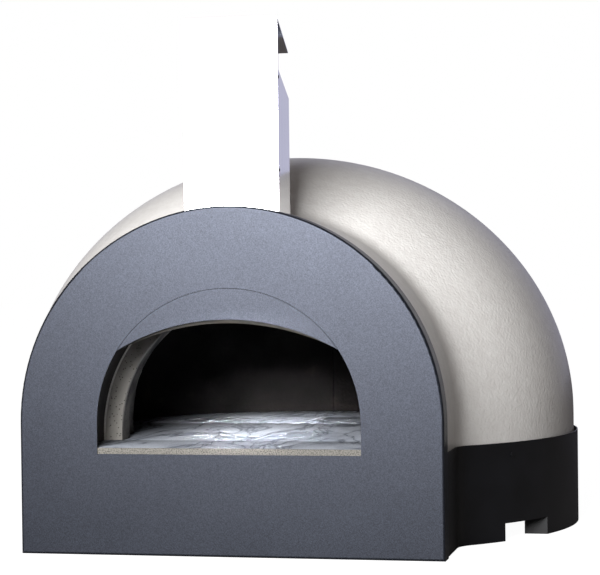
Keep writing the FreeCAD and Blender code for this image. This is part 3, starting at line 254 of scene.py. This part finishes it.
def worked(name, body, edge_mm, lumps_mm=0.0, lump_size_mm=20.0):
    """A merged copy of a solid with its edges eased, and its faces made uneven where asked."""
    bpy.ops.object.select_all(action="DESELECT")
    piece = bpy.data.objects.new(name + "_worked", NODES[name].data.copy())
    bpy.context.scene.collection.objects.link(piece)
    piece.select_set(True)
    bpy.context.view_layer.objects.active = piece
    if piece.data.has_custom_normals:
        bpy.ops.mesh.customdata_custom_splitnormals_clear()
    bpy.ops.object.mode_set(mode="EDIT")
    bpy.ops.mesh.select_all(action="SELECT")
    bpy.ops.mesh.remove_doubles(threshold=MERGE_DISTANCE)
    bpy.ops.mesh.dissolve_limited(angle_limit=FLAT_ANGLE)
    bpy.ops.object.mode_set(mode="OBJECT")
    steps = []
    eased = piece.modifiers.new("eased_edges", "BEVEL")
    eased.width, eased.segments, eased.angle_limit = edge_mm * MM, 3, SMOOTH_ANGLE
    steps.append(eased)
    if lumps_mm:
        remesh = piece.modifiers.new("cast_skin", "REMESH")
        remesh.mode, remesh.voxel_size = "VOXEL", 4 * MM
        steps.append(remesh)
        cloud = bpy.data.textures.new(name + "_lumps", "CLOUDS")
        cloud.noise_scale = lump_size_mm * MM
        uneven = piece.modifiers.new("uneven", "DISPLACE")
        uneven.texture, uneven.strength, uneven.mid_level = cloud, lumps_mm * MM, 1.0
        steps.append(uneven)
    for step in steps:
        bpy.ops.object.modifier_apply(modifier=step.name)
    bpy.ops.object.shade_smooth_by_angle(angle=SMOOTH_ANGLE)
    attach(piece, body)
    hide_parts(name)


worked("mouth_vault", "oven", 5, lumps_mm=2.0, lump_size_mm=25)
for slab in HEARTH:
    worked(slab, "oven", 1.4)
for seal in ("neck_seal", "hood_rope_seal"):
    worked(seal, "oven", 1.2)


# ---- stage, lights and camera -------------------------------------------------------------------

bpy.ops.object.select_all(action="DESELECT")
bpy.ops.mesh.primitive_plane_add(size=60, location=(0, 0, -0.5 * MM))
floor = bpy.context.object
floor.name = "studio_floor"


def pale_studio_floor(tree, where):
    """Bright to the eye and dim to the object, so that it doesn't light the casing from below."""
    seen = node(tree, "LightPath").outputs["Is Camera Ray"]
    tone = node(tree, "Mix", {0: seen, 6: "#6E6C6A", 7: "#8C8C8E"}, data_type="RGBA")
    glow = node(tree, "Math", {0: seen, 1: 0.97}, operation="MULTIPLY")
    return {"Base Color": tone.outputs[2], "Roughness": 1.0, "Specular IOR Level": 0.0,
            "Emission Color": "#FFFFFF", "Emission Strength": glow.outputs[0]}


floor.data.materials.append(finish("pale_studio_floor", pale_studio_floor))

world = bpy.data.worlds.new("studio")
bpy.context.scene.world = world
world.use_nodes = True
studio = world.node_tree
studio.nodes.clear()
# The camera sees the white backdrop, and reflections see a grey-brown room with a lavender back wall.
direction = node(studio, "SeparateXYZ", {"Vector": node(studio, "TexCoord").outputs["Generated"]})
behind = node(studio, "MapRange", {"Value": direction.outputs["Y"], "From Min": 0.8, "From Max": 0.93})
wall = node(studio, "Mix", {0: behind.outputs["Result"], 6: "#5E5A58", 7: "#C6C6DC"}, data_type="RGBA")
room = node(studio, "Background", {"Color": wall.outputs[2], "Strength": 1.0})
backdrop = node(studio, "Background", {"Color": "#FFFFFF", "Strength": 1.0})
shown = node(studio, "MixShader", {0: node(studio, "LightPath").outputs["Is Camera Ray"],
                                   1: room.outputs[0], 2: backdrop.outputs[0]})
node(studio, "OutputWorld", {"Surface": shown.outputs[0]})

# name, width, height, watts, spread in degrees, place, aim
LIGHTS = (
    ("front_softbox", 1.8, 1.2, 225, 180, (-0.36, -3.5, 1.2), (0, -0.3, 0.4)),
    ("hearth_snoot", 0.14, 0.05, 0.65, 10, (0.16, -1.75, 0.52), (-0.05, 0.02, 0.17)),
)
for name, width, height, watts, spread, place, aim in LIGHTS:
    data = bpy.data.lights.new(name, "AREA")
    data.shape, data.size, data.size_y = "RECTANGLE", width, height
    data.energy, data.spread = watts, math.radians(spread)
    lamp = bpy.data.objects.new(name, data)
    bpy.context.scene.collection.objects.link(lamp)
    lamp.location = place
    lamp.rotation_euler = (Vector(aim) - lamp.location).to_track_quat("-Z", "Y").to_euler()
    lamp.visible_camera = False

EYE = Vector((0.78874, -3.76461, 0.44869))
YAW, PITCH, ROLL = math.radians(13.508), math.radians(0.763), math.radians(-0.7015)
forward = Vector((-math.sin(YAW) * math.cos(PITCH), math.cos(YAW) * math.cos(PITCH),
                  -math.sin(PITCH)))
level_right = Vector((math.cos(YAW), math.sin(YAW), 0))
level_up = level_right.cross(forward)
right = math.cos(ROLL) * level_right + math.sin(ROLL) * level_up
up = right.cross(forward)
camera_data = bpy.data.cameras.new("camera")
camera_data.sensor_width, camera_data.lens = 36, 124.12
camera_data.shift_x, camera_data.shift_y = 0.1098, 0.0304
camera = bpy.data.objects.new("camera", camera_data)
bpy.context.scene.collection.objects.link(camera)
turn = Matrix((right, up, -forward)).transposed()
camera.matrix_world = Matrix.Translation(EYE) @ turn.to_4x4()
bpy.context.scene.camera = camera
bpy.context.scene.view_settings.view_transform = "Standard"
